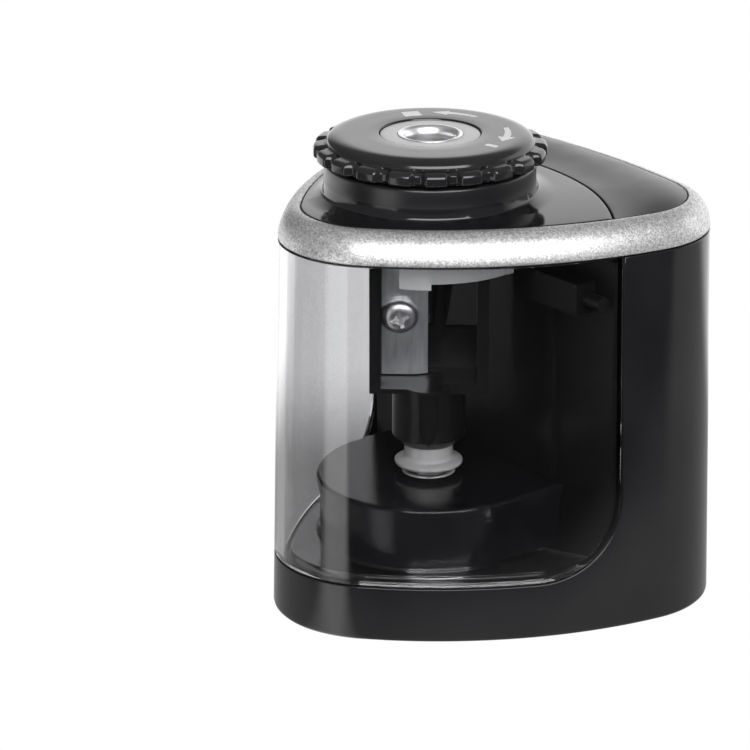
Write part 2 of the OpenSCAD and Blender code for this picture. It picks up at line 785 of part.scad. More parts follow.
lead_r = 0.6;
module lead(side) {
    start = [side * 6.5, cell_y, terminal_z + 3.45];
    top_z = cell_top + 7.5;
    end = [side * cell_x, cell_y, cell_top + 4.65];
    up = [0, 0, 1];
    out = [side, 0, 0];
    rise = [start.x, start.y, top_z];
    over = [end.x, start.y, top_z];
    wire(concat([start], bend(rise, up, out, 2.5), bend(over, out, -up, 2.5), [end]), lead_r);
}
module lead_red() {
    color([0.7, 0.05, 0.05]) lead(1);
}
module lead_black() {
    color([0.05, 0.05, 0.05]) lead(-1);
}

body_shell();
shavings_bin();
trim_ring();
front_deck();
rear_deck();
lock_ring();
twist_knob();
guide_disc();
entry_funnel();
cutter_carrier();
cutter_blade();
blade_screw();
drive_hub();
return_spring();
output_gear();
idler_gear();
idler_pin();
motor_pinion();
motor_shaft();
motor_can();
motor_end_cap();
motor_terminals();
motor_mount();
motor_screws();
chamber_floor();
chamber_wall();
gear_cover();
battery_holder();
battery_left();
battery_right();
battery_top_contacts();
battery_door();
door_contacts();
start_switch_body();
start_switch_plunger();
safety_switch_body();
safety_switch_plunger();
base_plate();
base_screws();
rubber_feet();
lead_red();
lead_black();
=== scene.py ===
"""The looks of the battery pencil sharpener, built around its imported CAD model."""
import math

import bmesh
import bpy
import numpy as np
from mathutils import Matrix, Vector


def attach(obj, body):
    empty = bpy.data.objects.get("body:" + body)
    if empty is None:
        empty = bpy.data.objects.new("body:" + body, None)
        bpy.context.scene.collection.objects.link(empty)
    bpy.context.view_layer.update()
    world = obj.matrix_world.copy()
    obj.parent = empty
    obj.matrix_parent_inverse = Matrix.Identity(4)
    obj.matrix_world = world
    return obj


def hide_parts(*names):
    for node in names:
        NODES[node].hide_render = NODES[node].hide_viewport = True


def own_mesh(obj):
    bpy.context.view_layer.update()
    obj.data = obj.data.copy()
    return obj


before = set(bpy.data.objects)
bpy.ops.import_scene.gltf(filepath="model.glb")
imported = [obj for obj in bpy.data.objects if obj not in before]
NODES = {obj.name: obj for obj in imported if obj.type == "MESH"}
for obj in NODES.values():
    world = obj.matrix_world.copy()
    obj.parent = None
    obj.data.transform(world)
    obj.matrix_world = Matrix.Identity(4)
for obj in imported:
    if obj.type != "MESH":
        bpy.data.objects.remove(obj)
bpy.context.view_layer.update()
MM = 0.001

# ---------------- sizes of the body, as in the CAD, in millimetres
CORNER_R = 16.5             # the three rounded corners
FRONT_Y = 18.25             # front corner's centre, in front of the middle
REAR_X = 18.65              # rear corners' centres
REAR_Y = 16.85
FLANK_R = 73.5              # the bowed sides and back
BACK_R = 142.0
DRAFT = 1.25                # how much wider the wall is at its foot
RING_Z = 65.7               # trim ring: underside, height and width
RING_H = 5.3
RING_W = 3.7
AXIS_Y = -7.11              # axis of the knob and the cutter
DECK_Z = RING_Z + RING_H
DECK_DEPTH = 1.38           # depth of the decks' edges
SEAM_R = 52.0               # arc seam between the decks, and its rearmost point
SEAM_Y = 16.8
SEAM_GAP = 0.16             # half of that seam's gap
RING_GAP = 0.22             # gap from the decks to the trim ring
COLLAR_R = 17.7
COLLAR_TOP = 76.9
BORE_R = 14.6
BORE_LOW = 69.6
WINDOW_Y = 6.75             # the window's rear edge, its lower corner and its foot
WINDOW_R = 14.0
WINDOW_GAP = 0.38
BAND_TOP = 10.0
WALL_FOOT = 0.5
KNOB_TOP = 81.6

front_c = np.array([0.0, -FRONT_Y])
rear_c = np.array([REAR_X, REAR_Y])
half_side = np.linalg.norm(rear_c - front_c) / 2
side_dir = (rear_c - front_c) / (2 * half_side)
flank_reach = math.sqrt((FLANK_R - CORNER_R) ** 2 - half_side ** 2)
flank_c = (front_c + rear_c) / 2 + flank_reach * np.array([-side_dir[1], side_dir[0]])
back_c = np.array([0.0, REAR_Y - math.sqrt((BACK_R - CORNER_R) ** 2 - REAR_X ** 2)])


def heading(a, b):
    """The angle of the direction from a to b, in degrees."""
    return math.degrees(math.atan2(b[1] - a[1], b[0] - a[0]))


FLANK_A0 = heading(flank_c, front_c)
FLANK_A1 = heading(flank_c, rear_c)
BACK_A0 = heading(back_c, rear_c)


def wall_off(z):
    """How far the drafted wall stands out at a height."""
    return DRAFT * (1 - z / RING_Z)


def arc_column(centre, radius, angle, side=1):
    """A column of the wall at a fixed angle: a function from an offset to a plan point."""
    c = math.cos(math.radians(angle))
    s = math.sin(math.radians(angle))

    def place(off):
        return (side * (centre[0] + (radius + off) * c), centre[1] + (radius + off) * s)
    return place


def flank_column(y, side=1):
    """A column of the wall on a flank, at a fixed distance front to back."""
    def place(off):
        a = math.asin((y - flank_c[1]) / (FLANK_R + off))
        return (side * (flank_c[0] + (FLANK_R + off) * math.cos(a)), y)
    return place


def spaced(a, b, step):
    """Even values from a to b, no further apart than step."""
    n = max(1, int(math.ceil(abs(b - a) / step)))
    return [a + (b - a) * i / n for i in range(n + 1)]


def far_ray(origin, angle, plan):
    """How far from origin a ray last crosses a closed plan."""
    d = np.array([math.cos(angle), math.sin(angle)])
    rel = plan - np.array(origin)
    side = rel[:, 0] * d[1] - rel[:, 1] * d[0]
    following = np.roll(side, -1)
    best = 0.0
    for i in np.where(side * following <= 0)[0]:
        j = (i + 1) % len(plan)
        f = side[i] / (side[i] - side[j]) if side[i] != side[j] else 0.0
        p = plan[i] + f * (plan[j] - plan[i])
        best = max(best, (p - np.array(origin)) @ d)
    return best


def outline_columns(step=0.5):
    """Columns round the whole outline, counter-clockwise from the front."""
    half = [(front_c, CORNER_R, -90, FLANK_A0), (flank_c, FLANK_R, FLANK_A0, FLANK_A1),
            (rear_c, CORNER_R, FLANK_A1, BACK_A0), (back_c, BACK_R, BACK_A0, 90)]
    right = []
    for c, r, a0, a1 in half:
        right += [(c, r, a) for a in spaced(a0, a1, math.degrees(step / r))[:-1]]
    right.append((back_c, BACK_R, 90))
    cols = [arc_column(c, r, a) for c, r, a in right]
    cols += [arc_column(c, r, a, -1) for c, r, a in right[-2:0:-1]]
    return cols


# ---------------- mesh helpers
def add_object(name, verts, faces, body, material, smooth=True):
    """A piece that rides a body, from points in millimetres."""
    mesh = bpy.data.meshes.new(name)
    mesh.from_pydata([tuple(MM * c for c in v) for v in verts], [], faces)
    mesh.validate()
    bm = bmesh.new()
    bm.from_mesh(mesh)
    bmesh.ops.remove_doubles(bm, verts=bm.verts, dist=1e-7)
    bmesh.ops.recalc_face_normals(bm, faces=bm.faces)
    bm.to_mesh(mesh)
    bm.free()
    for p in mesh.polygons:
        p.use_smooth = smooth
    ob = bpy.data.objects.new(name, mesh)
    bpy.context.scene.collection.objects.link(ob)
    ob.data.materials.append(material)
    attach(ob, body)
    return ob


def weighted(ob, sharp=None):
    """Smooth shading that keeps flat faces flat, with edges past the angle sharp."""
    if sharp is not None:
        ob.data.set_sharp_from_angle(angle=math.radians(sharp))
    mod = ob.modifiers.new("weighted", "WEIGHTED_NORMAL")
    mod.keep_sharp = sharp is not None
    mod.weight = 80
    return ob


def torus_grid(rings):
    """Verts and faces of rings that all have the same count of points, closed both ways."""
    n = len(rings)
    m = len(rings[0])
    verts = [p for r in rings for p in r]
    faces = [(i * m + j, ((i + 1) % n) * m + j, ((i + 1) % n) * m + (j + 1) % m, i * m + (j + 1) % m)
             for i in range(n) for j in range(m)]
    return verts, faces


def open_grid(rings):
    """The same, open from the first ring to the last, with both ends capped."""
    n = len(rings)
    m = len(rings[0])
    verts = [p for r in rings for p in r]
    faces = [(i * m + j, (i + 1) * m + j, (i + 1) * m + (j + 1) % m, i * m + (j + 1) % m)
             for i in range(n - 1) for j in range(m)]
    faces.append(tuple(range(m)))
    faces.append(tuple((n - 1) * m + j for j in reversed(range(m))))
    return verts, faces


def revolve(name, profile, body, material, steps=192, sharp=None, swell=None):
    """A closed profile of (radius, height) turned round the knob's axis. swell may move a point by angle."""
    rings = []
    for i in range(steps):
        a = 2 * math.pi * i / steps
        ring = []
        for r, z in profile:
            if swell:
                r, z = swell(a, r, z)
            ring.append((r * math.cos(a), AXIS_Y + r * math.sin(a), z))
        rings.append(ring)
    return weighted(add_object(name, *torus_grid(rings), body, material), sharp)


def arc(cx, cz, r, a0, a1, n):
    """Points of an arc in n steps, from one angle to another in degrees."""
    return [(cx + r * math.cos(math.radians(a0 + (a1 - a0) * i / n)),
             cz + r * math.sin(math.radians(a0 + (a1 - a0) * i / n))) for i in range(n + 1)]


def shell_solid(name, columns, thickness, body, material, closed, edge_r, foot_r=0.0):
    """A curved wall with thickness. columns: [(place, [heights])]. Neighbours are joined level by level."""
    pts = []
    index = []
    for place, zs in columns:
        index.append([len(pts) + k for k in range(len(zs))])
        pts += [(place, z) for z in zs]
    outer = []
    inner = []
    for place, z in pts:
        outer.append((*place(wall_off(z)), z))
        inner.append((*place(wall_off(z) - thickness), z))
    n = len(pts)
    faces = []
    used = {}
    pairs = [(i, i + 1) for i in range(len(columns) - 1)]
    if closed:
        pairs.append((len(columns) - 1, 0))
    for i, k in pairs:
        for j in range(min(len(index[i]), len(index[k])) - 1):
            f = (index[i][j], index[k][j], index[k][j + 1], index[i][j + 1])
            faces.append(f)
            for a, b in zip(f, f[1:] + f[:1]):
                used[frozenset((a, b))] = used.get(frozenset((a, b)), 0) + 1
    border = [(a, b) for f in faces for a, b in zip(f, f[1:] + f[:1]) if used[frozenset((a, b))] == 1]
    all_faces = faces + [tuple(n + v for v in reversed(f)) for f in faces]
    all_faces += [(b, a, n + a, n + b) for a, b in border]
    mesh = bpy.data.meshes.new(name)
    mesh.from_pydata([tuple(MM * c for c in v) for v in outer + inner], [], all_faces)
    bm = bmesh.new()
    bm.from_mesh(mesh)
    bmesh.ops.recalc_face_normals(bm, faces=bm.faces)
    bm.verts.ensure_lookup_table()
    low = min(z for _, z in pts)
    rims = {frozenset(e) for e in border}
    foot = []
    rim = []
    for e in bm.edges:
        a = e.verts[0].index
        b = e.verts[1].index
        key = frozenset((a % n, b % n))
        if (a < n) == (b < n) and key in rims:
            at_foot = foot_r and abs(pts[a % n][1] - low) < 1e-6 and abs(pts[b % n][1] - low) < 1e-6
            if at_foot and a < n:
                foot.append(e)
            elif not at_foot:
                rim.append(e)
    for edges, radius in ((foot, foot_r), (rim, edge_r)):
        edges = [e for e in edges if e.is_valid]
        if edges:
            bmesh.ops.bevel(bm, geom=edges, offset=radius * MM, segments=3, profile=0.5, affect="EDGES",
                            clamp_overlap=True)
    bm.to_mesh(mesh)
    bm.free()
    for p in mesh.polygons:
        p.use_smooth = True
    ob = bpy.data.objects.new(name, mesh)
    bpy.context.scene.collection.objects.link(ob)
    mesh.materials.append(material)
    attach(ob, body)
    return weighted(ob, 50)


# ---------------- materials
def new_material(name):
    mat = bpy.data.materials.new(name)
    mat.use_nodes = True
    nt = mat.node_tree
    return mat, nt, nt.nodes["Principled BSDF"]


def link(nt, a, b):
    nt.links.new(a, b)


def noise(nt, scale, detail=2.0, rough=0.5, stretch=(1, 1, 1)):
    coord = nt.nodes.new("ShaderNodeTexCoord")
    mapping = nt.nodes.new("ShaderNodeMapping")
    mapping.inputs["Scale"].default_value = stretch
    tex = nt.nodes.new("ShaderNodeTexNoise")
    tex.inputs["Scale"].default_value = scale
    tex.inputs["Detail"].default_value = detail
    tex.inputs["Roughness"].default_value = rough
    link(nt, coord.outputs["Object"], mapping.inputs["Vector"])
    link(nt, mapping.outputs["Vector"], tex.inputs["Vector"])
    return tex.outputs["Fac"]


def spread(nt, value, low, high, from_min=0.3, from_max=0.7):
    m = nt.nodes.new("ShaderNodeMapRange")
    m.inputs["From Min"].default_value = from_min
    m.inputs["From Max"].default_value = from_max
    m.inputs["To Min"].default_value = low
    m.inputs["To Max"].default_value = high
    link(nt, value, m.inputs["Value"])
    return m.outputs["Result"]


def two_tone(nt, value, dark, light, low=0.3, high=0.7):
    ramp = nt.nodes.new("ShaderNodeValToRGB")
    ramp.color_ramp.elements[0].position = low
    ramp.color_ramp.elements[0].color = (*dark, 1)
    ramp.color_ramp.elements[1].position = high
    ramp.color_ramp.elements[1].color = (*light, 1)
    link(nt, value, ramp.inputs["Fac"])
    return ramp.outputs["Color"]


def bump(nt, bsdf, value, distance):
    b = nt.nodes.new("ShaderNodeBump")
    b.inputs["Distance"].default_value = distance
    link(nt, value, b.inputs["Height"])
    link(nt, b.outputs["Normal"], bsdf.inputs["Normal"])


def plastic(name, dark, light, rough, rough_spread, grain, depth, specular=0.5, coat=0.0, sss=0.0):
    """Moulded plastic: a little colour and gloss variation, and the mould's fine texture."""
    mat, nt, p = new_material(name)
    slow = noise(nt, 60, 3)
    link(nt, two_tone(nt, slow, dark, light), p.inputs["Base Color"])
    cloud = noise(nt, 160, 4)
    link(nt, spread(nt, cloud, rough - rough_spread, rough + rough_spread), p.inputs["Roughness"])
    p.inputs["IOR"].default_value = 1.5
    p.inputs["Specular IOR Level"].default_value = specular
    if coat:
        p.inputs["Coat Weight"].default_value = coat
        p.inputs["Coat Roughness"].default_value = 0.04
    if sss:
        p.inputs["Subsurface Weight"].default_value = sss
        p.inputs["Subsurface Radius"].default_value = (0.8, 0.8, 0.75)
        p.inputs["Subsurface Scale"].default_value = 0.001
    bump(nt, p, noise(nt, grain, 3), depth)
    return mat


def metal(name, dark, light, rough, rough_spread, stretch, scale, depth):
    """Bare metal with streaks, drawn out along an axis by stretch."""
    mat, nt, p = new_material(name)
    p.inputs["Metallic"].default_value = 1.0
    streak = noise(nt, scale, 4, 0.6, stretch)
    link(nt, two_tone(nt, streak, dark, light), p.inputs["Base Color"])
    link(nt, spread(nt, streak, rough - rough_spread, rough + rough_spread), p.inputs["Roughness"])
    bump(nt, p, streak, depth)
    return mat


def rough_above(mat, height, below_value, above_value):
    """Gives a material one roughness below a height, in metres, and another above it."""
    nt = mat.node_tree
    blend = 0.0003
    coord = nt.nodes.new("ShaderNodeTexCoord")
    split = nt.nodes.new("ShaderNodeSeparateXYZ")
    link(nt, coord.outputs["Object"], split.inputs["Vector"])
    rough = spread(nt, split.outputs["Z"], below_value, above_value, height - blend, height + blend)
    link(nt, rough, nt.nodes["Principled BSDF"].inputs["Roughness"])


gloss_black = plastic("gloss_black", (0.006, 0.006, 0.007), (0.010, 0.010, 0.011), 0.10, 0.02, 260, 4e-6)
knob_black = plastic("knob_black", (0.008, 0.008, 0.009), (0.014, 0.014, 0.015), 0.16, 0.03, 1200, 2e-6)
collar_black = plastic(
    "collar_black", (0.006, 0.006, 0.007), (0.010, 0.010, 0.011), 0.09, 0.02, 260, 3e-6)
rough_above(collar_black, 0.0735, 0.09, 0.30)
satin_black = plastic(
    "satin_black", (0.030, 0.030, 0.031), (0.038, 0.038, 0.039), 0.36, 0.03, 9000, 4e-6, specular=0.68)
inner_black = plastic(
    "inner_black", (0.005, 0.005, 0.0055), (0.007, 0.007, 0.0075), 0.30, 0.015, 2600, 2e-6, specular=0.35)
drum_black = plastic(
    "drum_black", (0.006, 0.006, 0.007), (0.009, 0.009, 0.010), 0.17, 0.015, 2600, 1.5e-6)
light_grey = plastic("light_grey", (0.48, 0.48, 0.48), (0.54, 0.54, 0.54), 0.42, 0.05, 2500, 5e-6)
lug_grey = plastic("lug_grey", (0.38, 0.38, 0.38), (0.44, 0.44, 0.44), 0.42, 0.05, 2500, 4e-6)
white_nylon = plastic(
    "white_nylon", (0.34, 0.34, 0.335), (0.40, 0.40, 0.395), 0.40, 0.05, 1800, 5e-6, sss=0.25)
red_plastic = plastic("red_plastic", (0.42, 0.02, 0.015), (0.55, 0.04, 0.03), 0.30, 0.05, 1500, 4e-6)
lead_black_pvc = plastic(
    "lead_black_pvc", (0.012, 0.012, 0.012), (0.02, 0.02, 0.02), 0.42, 0.05, 1500, 4e-6)
rubber = plastic("rubber", (0.02, 0.02, 0.02), (0.035, 0.035, 0.035), 0.75, 0.08, 3000, 1.5e-5)
cell_wrap = plastic(
    "cell_wrap", (0.05, 0.055, 0.06), (0.09, 0.095, 0.10), 0.22, 0.04, 300, 6e-6, coat=0.4)
blade_steel = metal(
    "blade_steel", (0.62, 0.63, 0.64), (0.80, 0.81, 0.82), 0.42, 0.05, (1, 1, 0.04), 1600, 3e-6)
screw_steel = metal(
    "screw_steel", (0.86, 0.86, 0.87), (0.94, 0.94, 0.95), 0.33, 0.02, (1, 1, 1), 900, 5e-7)
plated_steel = metal(
    "plated_steel", (0.50, 0.51, 0.52), (0.66, 0.67, 0.68), 0.26, 0.06, (1, 1, 0.3), 700, 4e-6)
funnel_metal = metal(
    "funnel_metal", (0.80, 0.80, 0.81), (0.94, 0.94, 0.95), 0.36, 0.06, (1, 1, 6), 260, 5e-6)
brass = metal("brass", (0.56, 0.40, 0.14), (0.74, 0.56, 0.24), 0.24, 0.05, (1, 1, 1), 900, 3e-6)


def silver_paint():
    """Silver sparkle paint: fine flakes, each with its own grey, gloss and tilt."""
    mat, nt, p = new_material("silver_paint")
    coord = nt.nodes.new("ShaderNodeTexCoord")
    flakes = nt.nodes.new("ShaderNodeTexVoronoi")
    flakes.inputs["Scale"].default_value = 4200
    link(nt, coord.outputs["Object"], flakes.inputs["Vector"])
    grey = nt.nodes.new("ShaderNodeSeparateColor")
    link(nt, flakes.outputs["Color"], grey.inputs["Color"])
    link(nt, two_tone(nt, grey.outputs["Red"], (0.36, 0.36, 0.365), (0.74, 0.74, 0.745), 0.0, 1.0),
         p.inputs["Base Color"])
    p.inputs["Metallic"].default_value = 0.75
    link(nt, spread(nt, grey.outputs["Green"], 0.30, 0.50, 0, 1), p.inputs["Roughness"])
    bump(nt, p, grey.outputs["Blue"], 1.1e-5)
    return mat


def smoky_clear():
    """Smoky clear plastic, faintly rippled. Its shadow lets most of the light through."""
    mat, nt, p = new_material("smoky_clear")
    p.inputs["Base Color"].default_value = (0.70, 0.70, 0.71, 1)
    p.inputs["Transmission Weight"].default_value = 1.0
    p.inputs["IOR"].default_value = 1.49
    link(nt, spread(nt, noise(nt, 120, 3), 0.0, 0.03), p.inputs["Roughness"])
    ripple = noise(nt, 30, 2, 0.5, (1, 1, 0.12))
    bump(nt, p, ripple, 4e-5)
    path = nt.nodes.new("ShaderNodeLightPath")
    clear = nt.nodes.new("ShaderNodeBsdfTransparent")
    clear.inputs["Color"].default_value = (0.80, 0.80, 0.81, 1)
    mix = nt.nodes.new("ShaderNodeMixShader")
    link(nt, path.outputs["Is Shadow Ray"], mix.inputs[0])
    link(nt, p.outputs["BSDF"], mix.inputs[1])
    link(nt, clear.outputs["BSDF"], mix.inputs[2])
    out = [n for n in nt.nodes if n.type == "OUTPUT_MATERIAL"][0]
    link(nt, mix.outputs["Shader"], out.inputs["Surface"])
    return mat


silver = silver_paint()
smoke = smoky_clear()
print_grey = plastic("print_grey", (0.70, 0.70, 0.70), (0.78, 0.78, 0.78), 0.45, 0.05, 2000, 1e-6)


# ---------------- CAD nodes that keep their shape
def dress(name, material, bevel):
    """Gives a CAD node its material, and rounded edges where bevel is not 0."""
    ob = NODES[name]
    ob.data.materials.clear()
    ob.data.materials.append(material)
    for p in ob.data.polygons:
        p.use_smooth = True
        p.material_index = 0
    weld = ob.modifiers.new("weld", "WELD")
    weld.merge_threshold = 2e-6
    if bevel:
        b = ob.modifiers.new("bevel", "BEVEL")
        b.width = bevel * MM
        b.segments = 2
        b.limit_method = "ANGLE"
        b.angle_limit = math.radians(34)
        b.use_clamp_overlap = True
        b.miter_outer = "MITER_ARC"
    w = ob.modifiers.new("weighted", "WEIGHTED_NORMAL")
    w.weight = 80
    return ob


DRESSED = [
    ("cutter_carrier", inner_black, 0.16), ("cutter_blade", blade_steel, 0.03),
    ("blade_screw", screw_steel, 0.06), ("drive_hub", white_nylon, 0.06),
    ("return_spring", plated_steel, 0.0), ("chamber_floor", inner_black, 0.15),
    ("chamber_wall", inner_black, 0.2), ("output_gear", white_nylon, 0.0),
    ("idler_gear", white_nylon, 0.0), ("idler_pin", plated_steel, 0.1),
    ("motor_pinion", brass, 0.0), ("motor_shaft", plated_steel, 0.1),
    ("motor_can", plated_steel, 0.5), ("motor_end_cap", light_grey, 0.3),
    ("motor_terminals", brass, 0.05), ("motor_mount", inner_black, 0.12),
    ("motor_screws", plated_steel, 0.1), ("battery_holder", inner_black, 0.2),
    ("battery_left", cell_wrap, 0.4), ("battery_right", cell_wrap, 0.4),
    ("battery_top_contacts", plated_steel, 0.08), ("door_contacts", plated_steel, 0.0),
    ("battery_door", inner_black, 0.12), ("start_switch_body", inner_black, 0.15),
    ("start_switch_plunger", red_plastic, 0.15), ("safety_switch_body", inner_black, 0.25),
    ("safety_switch_plunger", inner_black, 0.2), ("base_plate", inner_black, 0.15),
    ("base_screws", plated_steel, 0.08), ("rubber_feet", rubber, 0.1),
    ("lead_red", red_plastic, 0.0), ("lead_black", lead_black_pvc, 0.0)]
for name, material, bevel in DRESSED:
    dress(name, material, bevel)

# ---------------- trim ring
RING_INNER = -RING_W - 0.04
RING_STEP = -RING_W - 1.6
ring_profile = [(-1.9, RING_Z), (-0.45, RING_Z), (-0.2, RING_Z + 0.04), (-0.06, RING_Z + 0.16)]
for angle in spaced(4, 87, 4):
    t = math.radians(angle)
    ring_profile.append((-RING_W + RING_W * math.cos(t), RING_Z + RING_H * math.sin(t)))
ring_profile += [
    (-RING_W + 0.08, DECK_Z - 0.01), (-RING_W - 0.02, DECK_Z - 0.10), (RING_INNER, DECK_Z - 0.3),
    (RING_INNER, DECK_Z - 1.45), (RING_STEP, DECK_Z - 1.45), (RING_STEP, DECK_Z - 2.65),
    (-1.9, DECK_Z - 2.65)]
rings = [[(*column(off), z) for off, z in ring_profile] for column in outline_columns()]
ring = weighted(add_object("trim_ring_paint", *torus_grid(rings), "housing", silver), 50)
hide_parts("trim_ring")

# ---------------- body shell and bin window
def window_columns(gap):
    """Columns from the window's right rear edge round the front to the left one, with their lower ends."""
    r = WINDOW_R - gap
    yc = WINDOW_Y - WINDOW_R
    zc = BAND_TOP + WINDOW_R
    low = BAND_TOP + gap
    front_end = -28.2

    def flank(side):
        turns = [math.radians(a) for a in spaced(90, 0, 5)]
        corner = [(flank_column(yc + r * math.sin(t), side), zc - r * math.cos(t)) for t in turns]
        return corner + [(flank_column(y, side), low) for y in spaced(yc, front_end, 1.0)[1:]]

    front = [(arc_column(front_c, CORNER_R, a), low) for a in spaced(FLANK_A0, -180 - FLANK_A0, 2.0)]
    return flank(1) + front + flank(-1)[::-1]


def levels(low, high, count):
    """Heights from low to high in count even steps."""
    return spaced(low, high, (high - low) / count + 1e-9)


def body_columns():
    """Columns round the whole body: short ones under the window, tall ones for the rear wall."""
    under = 6
    zc = BAND_TOP + WINDOW_R
    cols = [(place, levels(WALL_FOOT, z, under)) for place, z in window_columns(0.0)]
    tall = levels(WALL_FOOT, zc, under) + levels(zc, RING_Z - 0.2, 14)[1:]
    cols[0] = (cols[0][0], tall)
    cols[-1] = (cols[-1][0], tall)
    end = flank_c[1] + FLANK_R * math.sin(math.radians(FLANK_A1))
    side = spaced(WINDOW_Y, end - 0.4, 1.0)[1:]
    corner = spaced(FLANK_A1, BACK_A0, math.degrees(0.7 / CORNER_R))
    back = spaced(BACK_A0, 180 - BACK_A0, math.degrees(1.2 / BACK_R))[1:-1]
    cols += [(flank_column(y, -1), tall) for y in side]
    cols += [(arc_column(rear_c, CORNER_R, a, -1), tall) for a in corner]
    cols += [(arc_column(back_c, BACK_R, a), tall) for a in reversed(back)]
    cols += [(arc_column(rear_c, CORNER_R, a), tall) for a in reversed(corner)]
    cols += [(flank_column(y), tall) for y in reversed(side)]
    return cols


shell = shell_solid("body_shell_wall", body_columns(), 2.0, "housing", gloss_black, True, 0.3, 0.8)
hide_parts("body_shell")

bin_cols = [(place, levels(z, RING_Z - 0.25, 16)) for place, z in window_columns(WINDOW_GAP)]
window = shell_solid("bin_window", bin_cols, 1.6, "bin", smoke, False, 0.38)
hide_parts("shavings_bin")


def bin_tray():
    """The bin's floor: a thin tray round the drum, inside the wall."""
    z0 = BAND_TOP + 0.2
    z1 = BAND_TOP + 1.48
    slot = 19.4                 # half width of the opening for the drum
    half_width = 27.9           # of the tray, beside and behind the drum
    back = 5.5
    plan = np.array([column(-1.75) for column in outline_columns()])
    rings = []
    for angle in spaced(-205, 25, 2.0):
        c = math.cos(math.radians(angle))
        s = math.sin(math.radians(angle))
        t = slot / abs(c) if s > 0 else slot
        reach = far_ray((0.0, AXIS_Y), math.radians(angle), plan)
        x = reach * c
        y = AXIS_Y + reach * s
        if y > -8 and abs(x) > half_width:
            y = AXIS_Y + (y - AXIS_Y) * half_width / abs(x)
            x = math.copysign(half_width, x)
        if y > back:
            x *= (back - AXIS_Y) / (y - AXIS_Y)
            y = back
        inner = (t * c, AXIS_Y + t * s)
        outer = (x, y)
        inner_eased = (inner[0] * 1.005, inner[1] * 1.005)
        outer_eased = (x * 0.997, y * 0.997)
        rings.append([(*inner, z0 + 0.1), (*inner, z1 - 0.1), (*inner_eased, z1), (*outer_eased, z1),
                      (*outer, z1 - 0.1), (*outer, z0 + 0.1), (*outer_eased, z0), (*inner_eased, z0)])
    return weighted(add_object("bin_tray", *open_grid(rings), "bin", smoke), 50)


tray = bin_tray()

# ---------------- decks
seam_plan = np.array([column(-RING_W - RING_GAP) for column in outline_columns(0.4)])


def deck_height(x, y):
    """Crowned top of both decks: level with the ring at their edge, and fuller behind the seam."""
    d = np.min(np.hypot(seam_plan[:, 0] - x, seam_plan[:, 1] - y))
    t = min(d / 18, 1.0)
    behind = min(max((math.hypot(x, y - SEAM_Y + SEAM_R) - SEAM_R) / 13, 0.0), 1.0)
    pillow = 1.5 * (1 - math.exp(-d / 3.2)) * behind * behind * (3 - 2 * behind)
    return DECK_Z - 0.02 + 0.7 * t * (2 - t) + pillow


def ray_to_seam(angle, radius):
    """From the knob's axis to the arc seam between the decks."""
    oy = AXIS_Y - (SEAM_Y - SEAM_R)
    b = oy * math.sin(angle)
    return -b + math.sqrt(b * b - (oy * oy - radius * radius))


def front_deck():
    """The deck round the knob, in radial sections from the collar's bore out to the ring or the arc seam."""
    def reach(angle):
        return far_ray((0, AXIS_Y), angle, seam_plan), ray_to_seam(angle, SEAM_R - SEAM_GAP)

    angles = [math.radians(a) for a in spaced(0, 360, 1.0)[:-1]]
    nearer = [reach(a)[0] < reach(a)[1] for a in angles]
    # one more section exactly where the arc seam meets the ring, on each side
    for i in range(len(angles) - 1):
        if nearer[i] != nearer[i + 1]:
            lo = angles[i]
            hi = angles[i + 1]
            for _ in range(30):
                mid = (lo + hi) / 2
                to_ring, to_seam = reach(mid)
                if (to_ring < to_seam) == nearer[i]:
                    lo = mid
                else:
                    hi = mid
            angles.append(mid)
    angles = sorted(angles)
    rings = []
    for a in angles:
        edge = min(reach(a))
        fall = min(edge - COLLAR_R - 0.35, 3.4)
        ring = [(BORE_R, BORE_LOW), (BORE_R, COLLAR_TOP - 0.15), (BORE_R + 0.15, COLLAR_TOP)]
        ring += arc(COLLAR_R - 0.5, COLLAR_TOP - 0.5, 0.5, 90, 0, 4)
        ring += [(COLLAR_R, 75.6), (COLLAR_R, 74.6), (COLLAR_R, 73.9)]
        # the foot of the collar sweeps into the deck
        for i in range(1, 13):
            t = i / 12
            r = COLLAR_R + fall * t
            base = deck_height(r * math.cos(a), AXIS_Y + r * math.sin(a))
            h = 0.75 * (1 - t) ** 1.7 + 0.8 * max(0.0, 1 - (r - COLLAR_R) / 0.55) ** 2.2
            ring.append((r, base + h))
        for t in (0.2, 0.4, 0.6, 0.8, 0.95):
            r = COLLAR_R + fall + (edge - 0.28 - COLLAR_R - fall) * t
            ring.append((r, deck_height(r * math.cos(a), AXIS_Y + r * math.sin(a))))
        z = deck_height(edge * math.cos(a), AXIS_Y + edge * math.sin(a))
        ring += [(edge - 0.2, z), (edge - 0.07, z - 0.03), (edge, z - 0.16), (edge, z - DECK_DEPTH),
                 (edge - 1.0, z - DECK_DEPTH), (BORE_R + 1.2, BORE_LOW)]
        rings.append([(r * math.cos(a), AXIS_Y + r * math.sin(a), z) for r, z in ring])
    return weighted(add_object("front_deck_skin", *torus_grid(rings), "housing", collar_black), 60)


